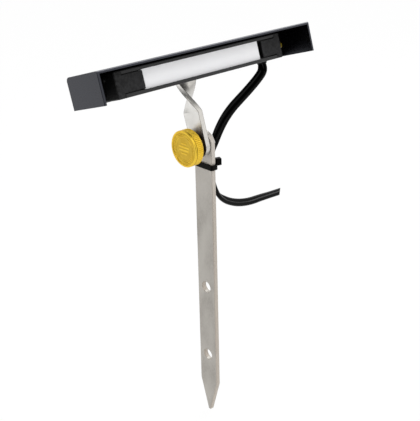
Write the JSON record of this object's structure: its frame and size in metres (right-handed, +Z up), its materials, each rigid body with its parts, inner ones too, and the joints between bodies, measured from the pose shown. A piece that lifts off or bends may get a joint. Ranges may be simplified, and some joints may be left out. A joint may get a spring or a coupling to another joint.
{
  "type": "wall washer light",
  "caption": "Garden wall washer light: a hooded linear lamp bar on a twisted flat arm that tilts on a ground stake, clamped by a knurled thumb knob, with a flat twin lead tied to the stake.",
  "frame": {"origin": "on the stake's centre line at the ground line, 66 mm below the pivot", "axes": "+Z up along the stake, X along the light bar with the knob towards -X, the beam towards -Y"},
  "size_m": [0.2, 0.0456, 0.3176],
  "materials": {
    "stake_steel": "mottled mill finish",
    "arm_steel": "satin",
    "hardware_steel": "satin",
    "washer_plastic": "matte",
    "knob_brass": "turned and knurled",
    "plug_brass": "turned",
    "tie_plastic": "satin",
    "hood_coat": "satin powder coat",
    "bar_coat": "black anodised",
    "cap_plastic": "fine grain",
    "lens_plastic": "frosted",
    "black_rubber": "matte",
    "lead_rubber": "satin",
    "board_white": "solder mask",
    "lamp_plastic": "cast resin",
    "board_green": "solder mask",
    "parts_plastic": "moulded",
    "wire_plastic": "extruded"
  },
  "bodies": {
    "stake": {"stake": "stake_steel", "pivot_bolt": "hardware_steel", "friction_washer": "washer_plastic", "lock_washer": "hardware_steel", "flat_washer": "hardware_steel", "cable_tie": "tie_plastic", "cord_lower": "lead_rubber"},
    "knob": {"thumb_knob": "knob_brass"},
    "head": {"arm": "arm_steel", "hood": "hood_coat", "bar_body": "bar_coat", "lens": "lens_plastic", "lens_seals": "black_rubber", "led_board": "board_white", "leds": "lamp_plastic", "driver_board": "board_green", "driver_parts": "parts_plastic", "driver_leads": "wire_plastic", "left_end_cap": "cap_plastic", "right_end_cap": "cap_plastic", "cap_gaskets": "black_rubber", "cap_screws": "hardware_steel", "plug_seal": "black_rubber", "plug_screw": "plug_brass", "arm_washers": "hardware_steel", "arm_screws": "hardware_steel", "cord_grommet": "black_rubber", "cord_upper": "lead_rubber"}
  },
  "joints": [
    {"name": "tilt", "type": "hinge", "parent": "stake", "child": "head", "pos_m": [0, 0, 0.066], "axis": [-1, 0, 0], "range_deg": [-107, 73], "deforming": ["cord_upper"]},
    {"name": "knob_turn", "type": "hinge", "parent": "stake", "child": "knob", "pos_m": [-0.0092, 0, 0.066], "axis": [-1, 0, 0], "range_deg": [0, 720]}
  ]
}
